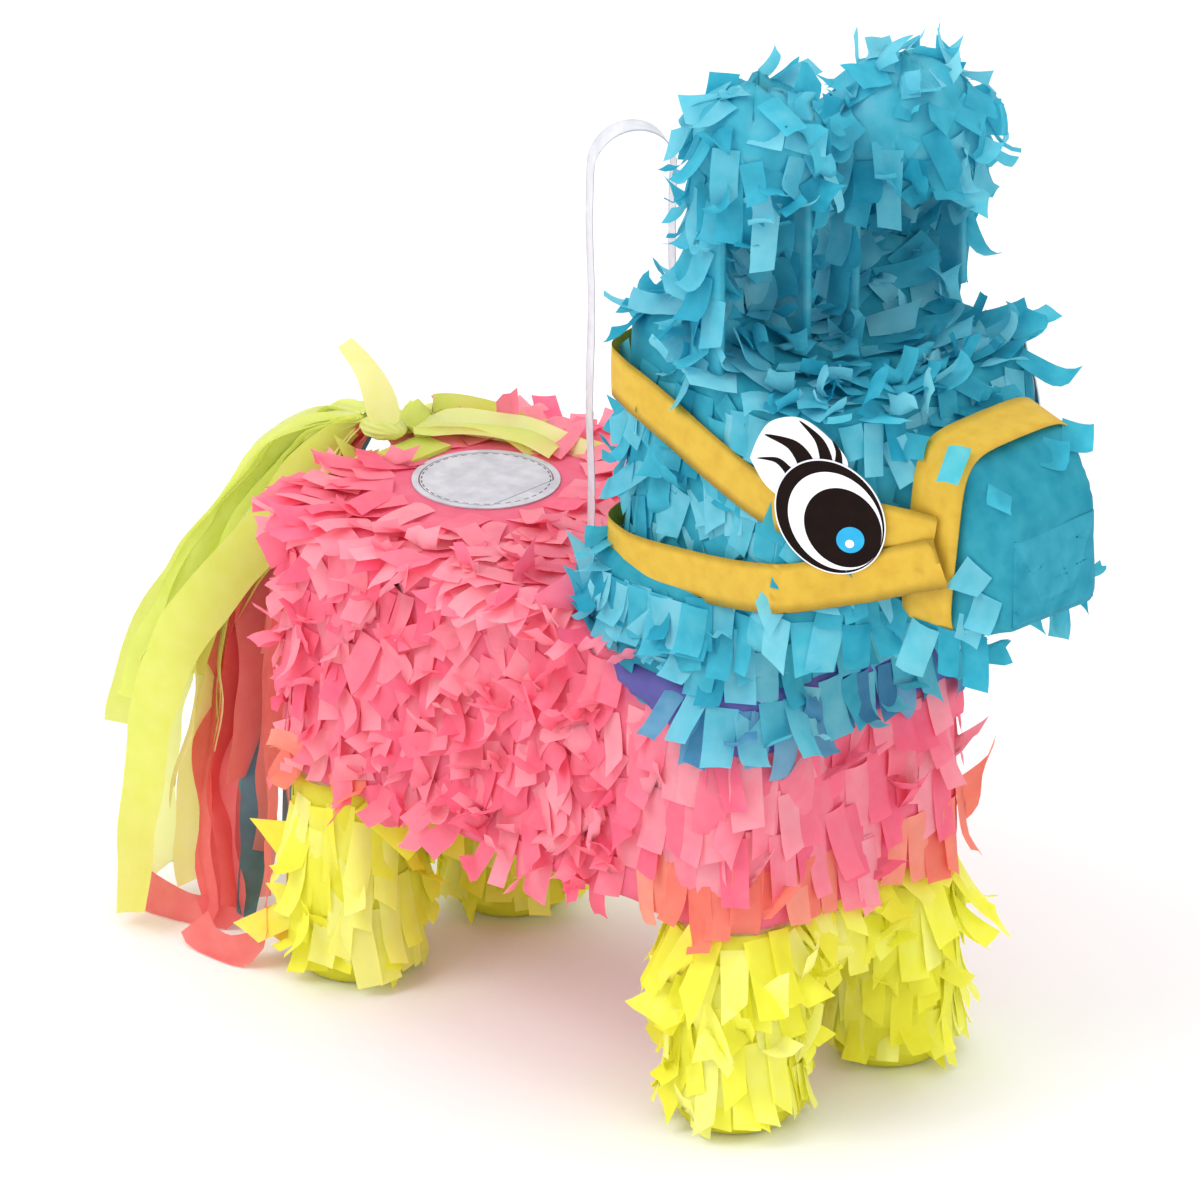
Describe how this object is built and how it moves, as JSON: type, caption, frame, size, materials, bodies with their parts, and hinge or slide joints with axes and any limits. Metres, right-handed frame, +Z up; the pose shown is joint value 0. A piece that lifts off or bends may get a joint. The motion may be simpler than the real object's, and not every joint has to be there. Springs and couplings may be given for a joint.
{
  "type": "pinata",
  "caption": "Donkey pinata of glued card covered in cut tissue fringe, with paper straps, a hanging band, a fill flap in the back and a tail of paper streamers.",
  "frame": {"origin": "on the floor under the middle of the whole outline's box, between the front and rear legs", "axes": "+X to the nose, +Y to the animal's left, +Z up; the animal stands on its four feet at Z = 0"},
  "size_m": [0.5373, 0.1692, 0.481],
  "materials": {
    "card": "matte",
    "turquoise_tissue": "matte",
    "pink_tissue": "matte",
    "lemon_tissue": "matte",
    "collar_tissue": "matte",
    "strap_paper": "matte",
    "eye_card": "satin",
    "lash_card": "satin",
    "label_paper": "matte",
    "band_plastic": "satin",
    "tail_yellow_tissue": "matte",
    "tail_coral_tissue": "matte",
    "tail_teal_tissue": "matte"
  },
  "bodies": {
    "donkey": {"trunk_wrap": "card", "back_panel": "card", "belly_panel": "card", "neck_sleeve": "card", "throat_panel": "card", "head_wrap": "card", "crown_panel": "card", "muzzle_sleeve": "card", "nose_panel": "turquoise_tissue", "front_left_leg": "card", "front_right_leg": "card", "rear_left_leg": "card", "rear_right_leg": "card", "front_left_foot": "lemon_tissue", "front_right_foot": "lemon_tissue", "rear_left_foot": "lemon_tissue", "rear_right_foot": "lemon_tissue", "left_ear": "card", "right_ear": "card", "hanger_plate": "card", "band_ends": "band_plastic", "band_knots": "band_plastic", "label_rim": "label_paper", "trunk_fringe": "pink_tissue", "back_fringe": "pink_tissue", "belly_fringe": "pink_tissue", "collar_fringe": "collar_tissue", "neck_fringe": "turquoise_tissue", "head_fringe": "turquoise_tissue", "crown_fringe": "turquoise_tissue", "muzzle_fringe": "turquoise_tissue", "front_left_leg_fringe": "lemon_tissue", "front_right_leg_fringe": "lemon_tissue", "rear_left_leg_fringe": "lemon_tissue", "rear_right_leg_fringe": "lemon_tissue", "left_ear_fringe": "turquoise_tissue", "right_ear_fringe": "turquoise_tissue", "noseband": "strap_paper", "cheek_strap": "strap_paper", "brow_strap": "strap_paper", "left_eye": "eye_card", "right_eye": "eye_card", "left_lashes": "lash_card", "right_lashes": "lash_card", "tail_tab": "tail_teal_tissue", "tail_spray": "tail_yellow_tissue"},
    "fill_flap": {"fill_flap": "card", "flap_label": "label_paper"},
    "hanging_band": {"hanging_band": "band_plastic"},
    "tail_pleat": {"tail_pleat": "tail_yellow_tissue"},
    "tail_streamers": {"long_yellow_streamer": "tail_yellow_tissue", "middle_yellow_streamer": "tail_yellow_tissue", "short_yellow_streamer": "tail_yellow_tissue", "outer_coral_streamer": "tail_coral_tissue", "inner_coral_streamer": "tail_coral_tissue", "teal_streamer": "tail_teal_tissue"}
  },
  "joints": [
    {"name": "flap_open", "type": "hinge", "parent": "donkey", "child": "fill_flap", "pos_m": [-0.047, 0, 0.2269], "axis": [0, 1, 0], "range_deg": [0, 110]},
    {"name": "band_lean", "type": "hinge", "parent": "donkey", "child": "hanging_band", "pos_m": [0.019, 0, 0.2327], "axis": [0.5299, 0.848, 0], "range_deg": [-36, 6], "stiffness_Nm_per_rad": 0.05},
    {"name": "tail_sway", "type": "hinge", "parent": "donkey", "child": "tail_pleat", "pos_m": [-0.13, 0, 0.2315], "axis": [1, 0, 0], "range_deg": [-15, 15]},
    {"name": "tail_lift", "type": "hinge", "parent": "tail_pleat", "child": "tail_streamers", "pos_m": [-0.143, 0, 0.2315], "axis": [0, 1, 0], "range_deg": [0, 70]}
  ]
}
